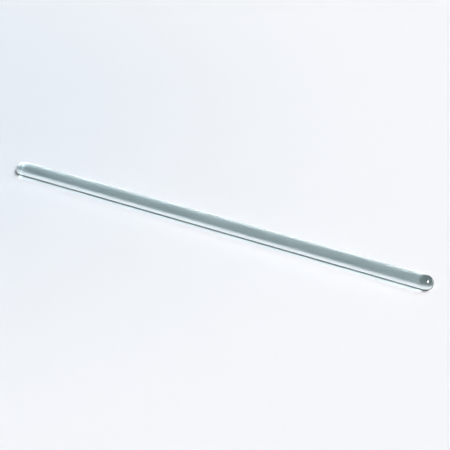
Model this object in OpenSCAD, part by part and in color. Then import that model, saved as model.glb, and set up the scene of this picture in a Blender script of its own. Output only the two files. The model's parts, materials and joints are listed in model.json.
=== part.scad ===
// Glass stirring rod: one solid round rod of clear glass, cut to length and
// fire-polished until both ends have drawn themselves into a full dome.
// Its axis runs along X, with the middle of the rod at the origin.

/* [Shank] */
// Length of the finished rod, from tip to tip
rod_length = 150; // [60:5:300]
// Diameter of the round shank
rod_diameter = 5; // [3:0.5:12]

/* [Fire-polished ends] */
// Radius that the flame rounds each end to, where half the diameter is a full dome
end_radius = 2.5; // [0.5:0.1:6]

/* [Hidden] */
$fn = 96;

// Clear glass with a faint green cast, as soda-lime rod has
glass_colour = [0.78, 0.89, 0.87, 0.55];

shank_radius = rod_diameter / 2;
// The rounding can't be wider than the rod, where it closes into a full dome
dome_radius = min(end_radius, shank_radius);
// Flat left in the middle of an end that is polished to less than a full dome
end_flat_radius = shank_radius - dome_radius;
// Straight stretch between the two rounded ends
straight_length = rod_length - 2 * dome_radius;

// Everything on the +X side of the rod's axis, which runs along Y
module outer_side() {
    translate([0, -rod_length / 2])
        square([shank_radius, rod_length]);
}

// Half of the rod's long section: the shank, an arc at each end that leaves it
// without a crease, and the flat inside the arcs where there is one
module half_section() {
    intersection() {
        outer_side();
        union() {
            translate([0, -straight_length / 2])
                square([shank_radius, straight_length]);
            for (end = [-1, 1])
                translate([end_flat_radius, end * straight_length / 2])
                    circle(r = dome_radius);
            if (end_flat_radius > 0)
                translate([0, -rod_length / 2])
                    square([end_flat_radius, rod_length]);
        }
    }
}

// The whole rod: the half section turned about the axis, then laid along X
module glass_rod() {
    color(glass_colour)
        rotate([0, 90, 0])
            rotate_extrude()
                half_section();
}

glass_rod();
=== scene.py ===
"""Looks of a glass stirring rod: clear drawn glass with fire-polished ends, on a pale studio sweep."""

import json
import math
from typing import NamedTuple

import bpy
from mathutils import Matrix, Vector


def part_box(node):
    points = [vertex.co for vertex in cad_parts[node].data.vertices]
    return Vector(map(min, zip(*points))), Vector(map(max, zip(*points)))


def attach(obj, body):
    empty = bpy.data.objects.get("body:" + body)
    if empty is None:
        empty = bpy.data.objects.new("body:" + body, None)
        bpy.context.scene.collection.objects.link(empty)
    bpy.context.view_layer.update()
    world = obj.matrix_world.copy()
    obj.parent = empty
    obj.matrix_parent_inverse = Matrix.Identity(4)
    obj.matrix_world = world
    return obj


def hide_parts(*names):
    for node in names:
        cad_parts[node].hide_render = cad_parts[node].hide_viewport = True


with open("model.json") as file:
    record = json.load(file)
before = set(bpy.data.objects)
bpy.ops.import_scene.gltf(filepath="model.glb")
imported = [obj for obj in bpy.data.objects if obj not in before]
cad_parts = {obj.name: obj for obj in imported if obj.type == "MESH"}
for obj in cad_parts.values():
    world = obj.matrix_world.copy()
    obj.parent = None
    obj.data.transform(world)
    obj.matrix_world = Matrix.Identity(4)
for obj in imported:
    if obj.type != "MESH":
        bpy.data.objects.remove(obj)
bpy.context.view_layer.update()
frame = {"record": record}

bl_info = {
    "name": "Glass Stirring Rod",
    "version": (1, 0, 0),
    "blender": (4, 5, 0),
    "location": "View3D > Sidebar > Stirring Rod",
    "description": "Makes a fire-polished glass stirring rod and a pale studio to show it in",
    "category": "Add Mesh",
}

# The record's lengths are in millimetres
MM = 0.001

# The rod's place and size, read from the frame
ROD_LOW, ROD_HIGH = (Vector(corner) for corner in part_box("glass_rod"))
SHANK = next(mount for mount in frame["record"]["mounts"] if mount["name"] == "shank")
ROD_LENGTH = ROD_HIGH.x - ROD_LOW.x
ROD_DIAMETER = 2 * SHANK["dims"]["r_mm"] * MM
FLOOR_LEVEL = -ROD_DIAMETER / 2
SHANK_END = ROD_HIGH.x - ROD_DIAMETER / 2

# Faces round the rod, rows of faces on each dome, and rows along the shank
SIDES = 256
DOME_RINGS = 64
SHANK_RINGS = 24
# Joins only points that coincide
JOIN_DISTANCE = 5e-7

# The flame smooths the shank this far back from each dome, and haze starts at this level of its noise
FLAME_REACH = 0.008
HAZE_START = 0.45

# The floor runs far past the picture
FLOOR_WIDTH = 60.0
# Its painted shade, a cooler and darker floor colour standing in for the light falling off, is centred this
# far past the rod's -X end, and has faded out at this radius
PAINTED_SHADE_BEYOND = 0.09
PAINTED_SHADE_RADIUS = 0.26
# The backdrop's upper edge is a little soft
BACKDROP_BLUR = math.radians(1.5)
# Past this share of the way round to -X the backdrop climbs, by the slope for each further share
BACKDROP_CLIMB_START = 0.55
BACKDROP_CLIMB_SLOPE = 0.5

# Blender's own sensor width, and the nearest that the camera sees
SENSOR_WIDTH_MM = 36.0
NEAREST_SEEN = 0.01
# How often light may bend or bounce on its way through the glass
LIGHT_BOUNCES = 32


class Lamp(NamedTuple):
    """A soft round lamp, placed as the rod sees it"""

    name: str
    # Degrees round from the camera towards its right, degrees above the floor, and degrees across
    azimuth: float
    elevation: float
    width: float
    # What it adds to the brightness of a white floor
    light: float
    colour: tuple
    # A lamp that only glints is seen in reflections and lights nothing
    only_glints: bool = False


KEY_WHITE = (0.993, 0.96, 1.0)
FILL_WHITE = (0.88, 0.98, 1.0)
COOL_WHITE = (0.7, 0.96, 1.0)
LAMPS = (
    Lamp("key_lamp", 28.0, 49.5, 16.0, 0.54, KEY_WHITE),
    Lamp("low_key", 22.0, 41.0, 22.0, 0.27, KEY_WHITE),
    Lamp("front_fill", 14.0, 31.0, 22.0, 0.04, FILL_WHITE),
    Lamp("low_fill", -8.0, 7.0, 20.0, 0.015, FILL_WHITE),
    Lamp("back_fill", 108.0, 54.0, 16.0, 0.13, COOL_WHITE),
    Lamp("glint", 32.0, 48.5, 25.0, 1.4, (1.0, 1.0, 1.0), only_glints=True),
)


class StirringRodSizes(bpy.types.PropertyGroup):
    """Sizes of the rod, and how finely its surface is divided"""

    length: bpy.props.FloatProperty(
        name="Length", description="From tip to tip",
        default=ROD_LENGTH, min=0.01, unit="LENGTH", precision=4)
    diameter: bpy.props.FloatProperty(
        name="Diameter", description="Across the round shank and its full domes",
        default=ROD_DIAMETER, min=0.001, unit="LENGTH", precision=4)
    sides: bpy.props.IntProperty(
        name="Sides", description="Faces round the rod", default=SIDES, min=12, max=512)
    dome_rings: bpy.props.IntProperty(
        name="Dome Rings", description="Rows of faces on each fire-polished dome",
        default=DOME_RINGS, min=4, max=128)
    shank_rings: bpy.props.IntProperty(
        name="Shank Rings", description="Rows of faces along the straight shank",
        default=SHANK_RINGS, min=2, max=200)


class GlassFinish(bpy.types.PropertyGroup):
    """Clear soda-lime glass with a faint green cast"""

    index: bpy.props.FloatProperty(
        name="Refractive Index", description="Index of refraction of the glass",
        default=1.5, min=1.3, max=1.8)
    cast: bpy.props.FloatVectorProperty(
        name="Cast", description="Colour that a long way through the glass takes on",
        default=(0.10, 0.75, 0.80), min=0.0, max=1.0, size=3, subtype="COLOR")
    cast_density: bpy.props.FloatProperty(
        name="Cast Density", description="How soon the cast builds up, per metre of glass",
        default=26.0, min=0.0, max=500.0)
    line_width: bpy.props.FloatProperty(
        name="Draw Line Width",
        description="Across one of the faint lines that drawing leaves on the shank",
        default=0.0009, min=0.0001, unit="LENGTH", precision=5)
    line_length: bpy.props.FloatProperty(
        name="Draw Line Length", description="How far a draw line runs before it fades into the next",
        default=0.05, min=0.001, unit="LENGTH", precision=4)
    line_depth: bpy.props.FloatProperty(
        name="Draw Line Depth", description="Height of the draw lines from crest to trough",
        default=3e-6, min=0.0, unit="LENGTH", precision=6)
    haze_size: bpy.props.FloatProperty(
        name="Haze Size", description="Across a patch of the haze that handling leaves",
        default=0.007, min=0.001, unit="LENGTH", precision=4)
    haze: bpy.props.FloatProperty(
        name="Haze", description="Roughness where handling has dulled the glass most",
        default=0.02, min=0.0, max=1.0)


class StudioSetup(bpy.types.PropertyGroup):
    """Floor, backdrop, lamps and camera"""

    floor_colour: bpy.props.FloatVectorProperty(
        name="Floor", description="Colour of the pale floor that the rod lies on",
        default=(0.93, 0.93, 0.925), min=0.0, max=1.0, size=3, subtype="COLOR")
    # Painted shade: the floor colour that stands in for the light falling off beyond the rod's -X end
    floor_painted_shade: bpy.props.FloatVectorProperty(
        name="Floor Painted Shade", description="Cooler tone that the floor falls off to beyond the rod's -X end",
        default=(0.78, 0.83, 0.86), min=0.0, max=1.0, size=3, subtype="COLOR")
    backdrop_colour: bpy.props.FloatVectorProperty(
        name="Backdrop", description="Colour of the pale backdrop along the horizon",
        default=(0.917, 0.931, 0.961), min=0.0, max=1.0, size=3, subtype="COLOR")
    backdrop_top: bpy.props.FloatProperty(
        name="Backdrop Top", description="Height of the backdrop above the horizon",
        default=math.radians(8.5), subtype="ANGLE")
    air_colour: bpy.props.FloatVectorProperty(
        name="Air", description="Colour of the dim room above the backdrop",
        default=(0.028, 0.032, 0.034), min=0.0, max=1.0, size=3, subtype="COLOR")
    light_level: bpy.props.FloatProperty(
        name="Light Level", description="Scales all the lamps", default=0.975, min=0.0)
    camera_azimuth: bpy.props.FloatProperty(
        name="Camera Azimuth", description="Turn of the camera round the rod, from square on",
        default=math.radians(26.83), subtype="ANGLE")
    camera_elevation: bpy.props.FloatProperty(
        name="Camera Elevation", description="Height of the camera above the horizon",
        default=math.radians(34.0), subtype="ANGLE")
    camera_distance: bpy.props.FloatProperty(
        name="Camera Distance", description="From the lens to the point that it is aimed at",
        default=0.41922, unit="LENGTH", precision=5)
    camera_aim: bpy.props.FloatVectorProperty(
        name="Camera Aim", description="Point at the height of the rod's axis in the middle of the picture",
        default=(0.004533, 0.00057, 0.0), size=3, subtype="XYZ", unit="LENGTH", precision=5)
    camera_lens: bpy.props.FloatProperty(
        name="Lens", description="Focal length in millimetres", default=104.48, min=10.0)


def socket(tree, name, kind, default=None, smallest=None):
    """Adds a named input to a node tree."""
    made = tree.interface.new_socket(name=name, in_out="INPUT", socket_type=kind)
    if default is not None:
        made.default_value = default
    if smallest is not None:
        made.min_value = smallest


def maths(tree, operation, first, second=None):
    """Adds a Math node whose inputs are numbers or other nodes' outputs, and returns its output."""
    node = tree.nodes.new("ShaderNodeMath")
    node.operation = operation
    for slot, value in zip(node.inputs, (first, second)):
        if value is None:
            continue
        if isinstance(value, (int, float)):
            slot.default_value = value
        else:
            tree.links.new(value, slot)
    return node.outputs[0]


def map_range(tree, value, before, after, interpolation="LINEAR"):
    """Adds a Map Range node from one pair of numbers to another, and returns its result."""
    node = tree.nodes.new("ShaderNodeMapRange")
    node.interpolation_type = interpolation
    for name, number in zip(("From Min", "From Max", "To Min", "To Max"), (*before, *after)):
        node.inputs[name].default_value = number
    tree.links.new(value, node.inputs["Value"])
    return node.outputs["Result"]


def blend_colours(tree, share, first, second):
    """Adds a Mix node that goes from the first colour to the second, and returns its colour."""
    node = tree.nodes.new("ShaderNodeMix")
    node.data_type = "RGBA"
    tree.links.new(share, node.inputs["Factor"])
    node.inputs["A"].default_value = (*first, 1.0)
    node.inputs["B"].default_value = (*second, 1.0)
    return node.outputs["Result"]


def rod_tree():
    """Geometry Nodes that wrap a grid into a round rod with a full dome on each end."""
    tree = bpy.data.node_groups.new("Fire-polished rod", "GeometryNodeTree")
    socket(tree, "Length", "NodeSocketFloat", ROD_LENGTH, 0.0)
    socket(tree, "Diameter", "NodeSocketFloat", ROD_DIAMETER, 0.0)
    socket(tree, "Sides", "NodeSocketInt", SIDES, 3)
    socket(tree, "Dome Rings", "NodeSocketInt", DOME_RINGS, 2)
    socket(tree, "Shank Rings", "NodeSocketInt", SHANK_RINGS, 1)
    socket(tree, "Glass", "NodeSocketMaterial")
    tree.interface.new_socket(name="Rod", in_out="OUTPUT", socket_type="NodeSocketGeometry")
    new, link = tree.nodes.new, tree.links.new
    given = new("NodeGroupInput").outputs
    radius = maths(tree, "MULTIPLY", given["Diameter"], 0.5)

    # A flat grid: X runs from tip to tip as -1 to 1, Y once round the rod as -0.5 to 0.5
    rings = maths(tree, "ADD", maths(tree, "MULTIPLY", given["Dome Rings"], 2.0), given["Shank Rings"])
    grid = new("GeometryNodeMeshGrid")
    grid.inputs["Size X"].default_value = 2.0
    grid.inputs["Size Y"].default_value = 1.0
    link(maths(tree, "ADD", rings, 1.0), grid.inputs["Vertices X"])
    link(maths(tree, "ADD", given["Sides"], 1.0), grid.inputs["Vertices Y"])
    place = new("ShaderNodeSeparateXYZ")
    link(new("GeometryNodeInputPosition").outputs[0], place.inputs[0])
    along, around = place.outputs["X"], place.outputs["Y"]

    # The middle share of the grid is the shank, and what is past it climbs the dome to the pole
    shank_share = maths(tree, "DIVIDE", given["Shank Rings"], rings)
    reach = maths(tree, "ABSOLUTE", along)
    past = maths(tree, "MAXIMUM", maths(tree, "SUBTRACT", reach, shank_share), 0.0)
    climb = maths(tree, "DIVIDE", past, maths(tree, "SUBTRACT", 1.0, shank_share))
    latitude = maths(tree, "MULTIPLY", climb, math.pi / 2)
    half_shank = maths(tree, "SUBTRACT", maths(tree, "MULTIPLY", given["Length"], 0.5), radius)
    on_shank = maths(tree, "MINIMUM", maths(tree, "DIVIDE", reach, shank_share), 1.0)
    from_middle = maths(tree, "ADD", maths(tree, "MULTIPLY", on_shank, half_shank),
                        maths(tree, "MULTIPLY", radius, maths(tree, "SINE", latitude)))
    ring_radius = maths(tree, "MULTIPLY", radius, maths(tree, "COSINE", latitude))
    turn = maths(tree, "MULTIPLY", around, -2 * math.pi)
    point = new("ShaderNodeCombineXYZ")
    link(maths(tree, "MULTIPLY", maths(tree, "SIGN", along), from_middle), point.inputs["X"])
    link(maths(tree, "MULTIPLY", ring_radius, maths(tree, "COSINE", turn)), point.inputs["Y"])
    link(maths(tree, "MULTIPLY", ring_radius, maths(tree, "SINE", turn)), point.inputs["Z"])

    # Wrap the grid, close its seam and poles, and finish it
    wrap = new("GeometryNodeSetPosition")
    link(point.outputs[0], wrap.inputs["Position"])
    close = new("GeometryNodeMergeByDistance")
    close.inputs["Distance"].default_value = JOIN_DISTANCE
    smooth = new("GeometryNodeSetShadeSmooth")
    realize = new("GeometryNodeRealizeInstances")
    glaze = new("GeometryNodeSetMaterial")
    link(given["Glass"], glaze.inputs["Material"])
    flow = grid.outputs["Mesh"]
    for step in (wrap, close, smooth, realize, glaze):
        link(flow, step.inputs[0])
        flow = step.outputs[0]
    link(flow, new("NodeGroupOutput").inputs["Rod"])
    return tree


def shape_from_tree(name, tree, values):
    """Evaluates a node tree with the named input values and returns its result as a plain mesh object."""
    blank = bpy.data.meshes.new(name + "_blank")
    carrier = bpy.data.objects.new(name + "_carrier", blank)
    bpy.context.scene.collection.objects.link(carrier)
    modifier = carrier.modifiers.new(tree.name, "NODES")
    modifier.node_group = tree
    for item in tree.interface.items_tree:
        if item.in_out == "INPUT":
            modifier[item.identifier] = values[item.name]
    evaluated = carrier.evaluated_get(bpy.context.evaluated_depsgraph_get())
    mesh = bpy.data.meshes.new_from_object(evaluated)
    mesh.name = name
    bpy.data.objects.remove(carrier)
    bpy.data.meshes.remove(blank)
    # Set Material adds its material behind an empty slot, which goes
    mesh.materials.pop(index=0)
    shape = bpy.data.objects.new(name, mesh)
    bpy.context.scene.collection.objects.link(shape)
    return shape


def noise_pattern(tree, place, sizes):
    """Adds a noise whose patches have these sizes along X, Y and Z, and returns its value."""
    stretch = tree.nodes.new("ShaderNodeMapping")
    stretch.inputs["Scale"].default_value = [1 / size for size in sizes]
    tree.links.new(place, stretch.inputs["Vector"])
    noise = tree.nodes.new("ShaderNodeTexNoise")
    noise.inputs["Scale"].default_value = 1.0
    tree.links.new(stretch.outputs[0], noise.inputs["Vector"])
    return noise.outputs["Fac"]


def add_cast(tree, colour, density):
    """Makes the light that goes through the glass take on its cast."""
    absorption = tree.nodes.new("ShaderNodeVolumeAbsorption")
    absorption.inputs["Color"].default_value = (*colour, 1.0)
    absorption.inputs["Density"].default_value = density
    tree.links.new(absorption.outputs[0], tree.nodes["Material Output"].inputs["Volume"])


def draw_lines(tree, place, finish):
    """Adds draw lines along the shank, melted away towards the domes, and returns the bumped normal."""
    axes = tree.nodes.new("ShaderNodeSeparateXYZ")
    tree.links.new(place, axes.inputs[0])
    from_middle = maths(tree, "ABSOLUTE", axes.outputs["X"])
    unmelted = map_range(tree, from_middle, (SHANK_END - FLAME_REACH, SHANK_END), (1.0, 0.0), "SMOOTHSTEP")
    lines = tree.nodes.new("ShaderNodeBump")
    lines.inputs["Distance"].default_value = finish.line_depth
    tree.links.new(unmelted, lines.inputs["Strength"])
    tree.links.new(noise_pattern(tree, place, (finish.line_length, finish.line_width, finish.line_width)),
                   lines.inputs["Height"])
    return lines.outputs["Normal"]


def handling_haze(tree, place, finish):
    """Adds patches of faint haze where the glass has been handled, and returns its roughness."""
    patches = noise_pattern(tree, place, (finish.haze_size,) * 3)
    return map_range(tree, patches, (HAZE_START, 1.0), (0.0, finish.haze))


def glass_material(finish):
    """Clear glass whose cast deepens with the way through it, drawn along X and polished at its ends."""
    material = bpy.data.materials.new("drawn_glass")
    material.use_nodes = True
    tree = material.node_tree
    shader = tree.nodes["Principled BSDF"]
    shader.inputs["Base Color"].default_value = (1.0, 1.0, 1.0, 1.0)
    shader.inputs["IOR"].default_value = finish.index
    shader.inputs["Transmission Weight"].default_value = 1.0
    add_cast(tree, finish.cast, finish.cast_density)
    place = tree.nodes.new("ShaderNodeTexCoord").outputs["Object"]
    tree.links.new(draw_lines(tree, place, finish), shader.inputs["Normal"])
    tree.links.new(handling_haze(tree, place, finish), shader.inputs["Roughness"])
    return material


class LAB_OT_glass_rod(bpy.types.Operator):
    """Makes the fire-polished glass rod"""

    bl_idname = "lab.glass_rod"
    bl_label = "Glass Rod"

    def execute(self, context):
        sizes = context.scene.stirring_rod
        glass = glass_material(context.scene.rod_glass)
        rod = shape_from_tree("stirring_rod", rod_tree(), {
            "Length": sizes.length, "Diameter": sizes.diameter, "Sides": sizes.sides,
            "Dome Rings": sizes.dome_rings, "Shank Rings": sizes.shank_rings, "Glass": glass})
        if not rod.data.polygons:
            raise RuntimeError("The rod's node tree made no faces")
        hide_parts("glass_rod")
        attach(rod, "root")
        return {"FINISHED"}


def direction(azimuth, elevation):
    """Unit vector towards a lamp or camera that stands at these angles round the rod."""
    level = math.cos(elevation)
    return Vector((math.sin(azimuth) * level, -math.cos(azimuth) * level, math.sin(elevation)))


def add_floor(colour, shade):
    """Adds the pale floor, which runs out to the horizon, with painted shade that makes it a little darker
    and cooler past the rod's -X end.
    """
    bpy.ops.mesh.primitive_plane_add(size=FLOOR_WIDTH, location=(0.0, 0.0, FLOOR_LEVEL))
    floor = bpy.context.object
    floor.name = "studio_floor"
    paper = bpy.data.materials.new("pale_paper")
    paper.use_nodes = True
    tree = paper.node_tree
    new, link = tree.nodes.new, tree.links.new
    shader = tree.nodes["Principled BSDF"]
    shader.inputs["Roughness"].default_value = 1.0
    shader.inputs["Specular IOR Level"].default_value = 0.0
    # Painted shade: near a point past the rod's -X end the floor takes the shade colour, standing in for
    # light falling off, and it fades back to the floor's own colour farther out
    reach = new("ShaderNodeVectorMath")
    reach.operation = "DISTANCE"
    link(new("ShaderNodeTexCoord").outputs["Object"], reach.inputs[0])
    reach.inputs[1].default_value = (ROD_LOW.x - PAINTED_SHADE_BEYOND, 0.0, 0.0)
    fade = map_range(tree, reach.outputs["Value"], (0.0, PAINTED_SHADE_RADIUS), (0.0, 1.0), "SMOOTHERSTEP")
    link(blend_colours(tree, fade, shade, colour), shader.inputs["Base Color"])
    floor.data.materials.append(paper)


def add_lamp(lamp, camera_azimuth, level):
    """Adds one soft lamp, far enough away to light the whole floor evenly."""
    elevation = math.radians(lamp.elevation)
    data = bpy.data.lights.new(lamp.name, "SUN")
    data.angle = math.radians(lamp.width)
    data.color = lamp.colour
    data.energy = level * lamp.light * math.pi / math.sin(elevation)
    towards = direction(camera_azimuth + math.radians(lamp.azimuth), elevation)
    made = bpy.data.objects.new(lamp.name, data)
    made.location = towards
    made.rotation_euler = towards.to_track_quat("Z", "Y").to_euler()
    made.visible_glossy = lamp.only_glints
    made.visible_diffuse = not lamp.only_glints
    made.visible_transmission = not lamp.only_glints
    bpy.context.scene.collection.objects.link(made)


def add_world(backdrop_colour, backdrop_top, air_colour):
    """Adds a pale backdrop along the horizon that climbs towards -X, with a dim room above it."""
    world = bpy.data.worlds.new("studio_room")
    world.use_nodes = True
    tree = world.node_tree
    new, link = tree.nodes.new, tree.links.new
    view = new("ShaderNodeSeparateXYZ")
    link(new("ShaderNodeTexCoord").outputs["Generated"], view.inputs[0])
    past = maths(tree, "SUBTRACT", -BACKDROP_CLIMB_START, view.outputs["X"])
    climb = maths(tree, "MULTIPLY", maths(tree, "MAXIMUM", past, 0.0), BACKDROP_CLIMB_SLOPE)
    height = maths(tree, "SUBTRACT", view.outputs["Z"], climb)
    edge = [math.sin(backdrop_top + side * BACKDROP_BLUR / 2) for side in (-1, 1)]
    above = map_range(tree, height, edge, (0.0, 1.0), "SMOOTHSTEP")
    link(blend_colours(tree, above, backdrop_colour, air_colour), tree.nodes["Background"].inputs["Color"])
    bpy.context.scene.world = world


def add_camera(setup):
    """Adds the camera at the angle, distance and lens of the setup."""
    data = bpy.data.cameras.new("camera")
    data.sensor_width = SENSOR_WIDTH_MM
    data.lens = setup.camera_lens
    data.clip_start = NEAREST_SEEN
    camera = bpy.data.objects.new("camera", data)
    towards = direction(setup.camera_azimuth, setup.camera_elevation)
    camera.location = Vector(setup.camera_aim) + towards * setup.camera_distance
    camera.rotation_euler = towards.to_track_quat("Z", "Y").to_euler()
    bpy.context.scene.collection.objects.link(camera)
    bpy.context.scene.camera = camera


class LAB_OT_studio(bpy.types.Operator):
    """Makes the pale floor and backdrop, the lamps and the camera"""

    bl_idname = "lab.studio"
    bl_label = "Studio"

    def execute(self, context):
        scene = context.scene
        setup = scene.rod_studio
        add_floor(setup.floor_colour, setup.floor_painted_shade)
        for lamp in LAMPS:
            add_lamp(lamp, setup.camera_azimuth, setup.light_level)
        add_world(setup.backdrop_colour, setup.backdrop_top, setup.air_colour)
        add_camera(setup)
        scene.view_settings.view_transform = "Standard"
        # Light that has gone through the glass and off the floor is kept, and kept sharp
        scene.cycles.max_bounces = LIGHT_BOUNCES
        scene.cycles.transmission_bounces = LIGHT_BOUNCES
        scene.cycles.sample_clamp_indirect = 0.0
        scene.cycles.blur_glossy = 0.0
        scene.cycles.use_guiding = True
        return {"FINISHED"}


class LAB_PT_stirring_rod(bpy.types.Panel):
    """Sidebar panel that lists the rod's settings and its operators"""

    bl_label = "Stirring Rod"
    bl_idname = "LAB_PT_stirring_rod"
    bl_space_type = "VIEW_3D"
    bl_region_type = "UI"
    bl_category = "Stirring Rod"

    def draw(self, context):
        for group in (context.scene.stirring_rod, context.scene.rod_glass, context.scene.rod_studio):
            box = self.layout.box()
            for name in group.bl_rna.properties.keys():
                if name not in {"rna_type", "name"}:
                    box.prop(group, name)
        self.layout.operator(LAB_OT_glass_rod.bl_idname)
        self.layout.operator(LAB_OT_studio.bl_idname)


CLASSES = (StirringRodSizes, GlassFinish, StudioSetup, LAB_OT_glass_rod, LAB_OT_studio, LAB_PT_stirring_rod)


def register():
    for item in CLASSES:
        bpy.utils.register_class(item)
    bpy.types.Scene.stirring_rod = bpy.props.PointerProperty(type=StirringRodSizes)
    bpy.types.Scene.rod_glass = bpy.props.PointerProperty(type=GlassFinish)
    bpy.types.Scene.rod_studio = bpy.props.PointerProperty(type=StudioSetup)


def unregister():
    for name in ("stirring_rod", "rod_glass", "rod_studio"):
        delattr(bpy.types.Scene, name)
    for item in reversed(CLASSES):
        bpy.utils.unregister_class(item)


def main():
    register()
    bpy.ops.lab.studio()
    bpy.ops.lab.glass_rod()


if __name__ == "__main__":
    main()
